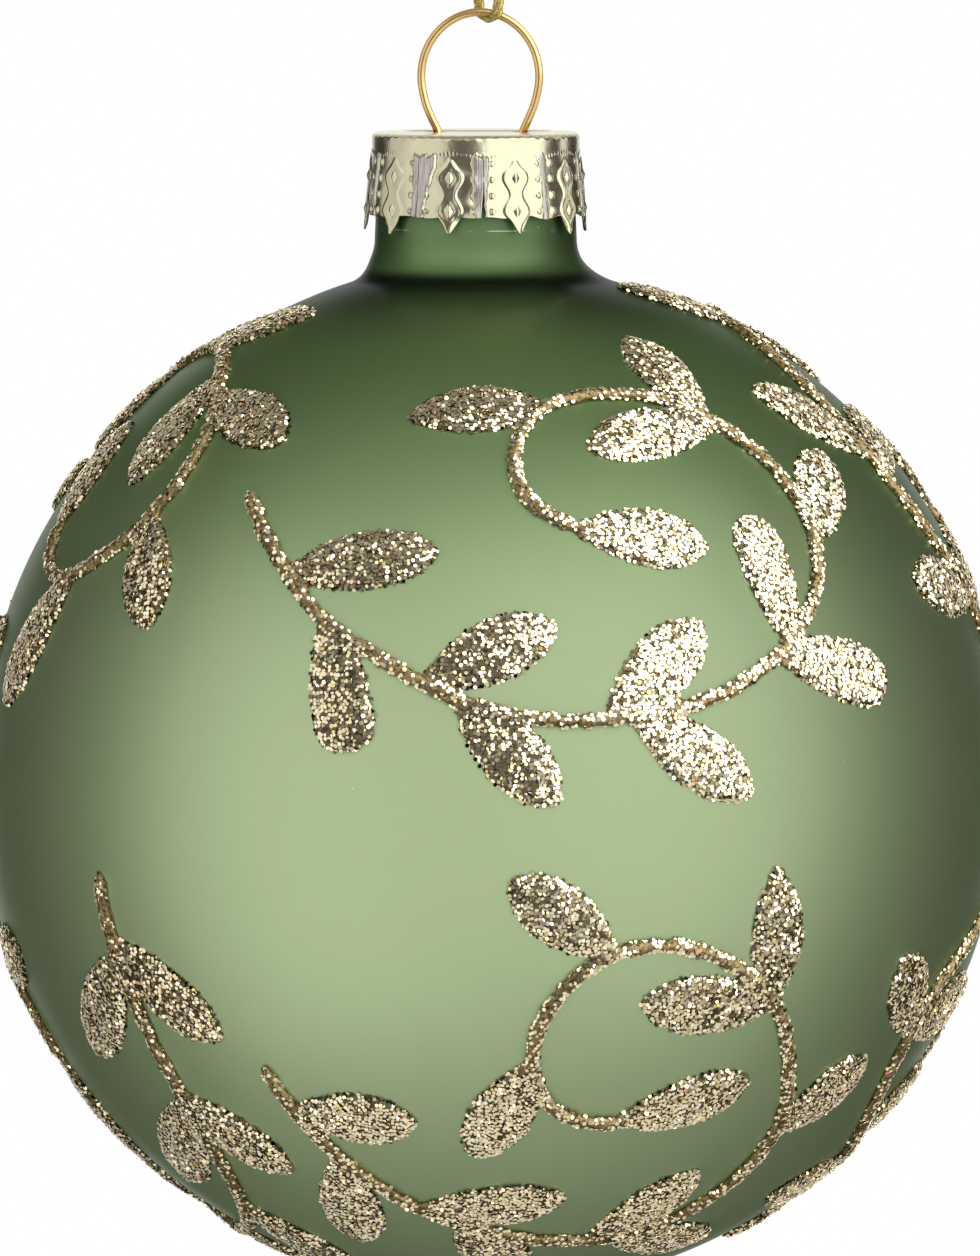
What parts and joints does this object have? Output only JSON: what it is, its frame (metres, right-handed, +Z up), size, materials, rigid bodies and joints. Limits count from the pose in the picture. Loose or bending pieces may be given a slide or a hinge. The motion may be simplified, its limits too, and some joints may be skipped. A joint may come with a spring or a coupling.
{
  "type": "christmas bauble",
  "caption": "Round frosted glass bauble with raised glitter vines, hung by a stamped crown cap, a sprung wire hanger and a knotted cord loop.",
  "frame": {"origin": "the top of the hanging cord's loop, where the hook or twig holds the bauble", "axes": "+Z up, -Y towards the camera side of the picture, +X to the right in the picture"},
  "size_m": [0.0804, 0.0814, 0.1541],
  "materials": {
    "ball_glass": "frosted, tinted soft green, milky",
    "cap_foil": "thin stamped foil, pale champagne gold, bright, scuffed on the folds",
    "hanger_wire": "bright gold-coloured spring wire",
    "vine_glitter": "champagne hexagonal glitter flakes in a clear glue bead",
    "gold_cord": "twisted metallic gold thread"
  },
  "bodies": {
    "cord": {"cord_loop": "gold_cord", "cord_knot": "gold_cord"},
    "hanger": {"wire_hanger": "hanger_wire"},
    "cap": {"crown_cap": "cap_foil"},
    "ball": {"glass_ball": "ball_glass", "vine_upper_front": "vine_glitter", "vine_upper_right": "vine_glitter", "vine_upper_back": "vine_glitter", "vine_upper_left": "vine_glitter", "vine_lower_front": "vine_glitter", "vine_lower_right": "vine_glitter", "vine_lower_back": "vine_glitter", "vine_lower_left": "vine_glitter"}
  },
  "joints": [
    {"name": "hanger_swing", "type": "hinge", "parent": "cord", "child": "hanger", "pos_m": [-0.00065, 0, -0.044], "axis": [1, 0, 0], "range_deg": [-60, 60]},
    {"name": "cap_tilt", "type": "hinge", "parent": "hanger", "child": "cap", "pos_m": [-0.001, 0, -0.05346], "axis": [1, 0, 0], "range_deg": [-10, 10]},
    {"name": "ball_pull", "type": "slide", "parent": "cap", "child": "ball", "axis": [0, 0, -1], "range_m": [0, 0.015]}
  ]
}
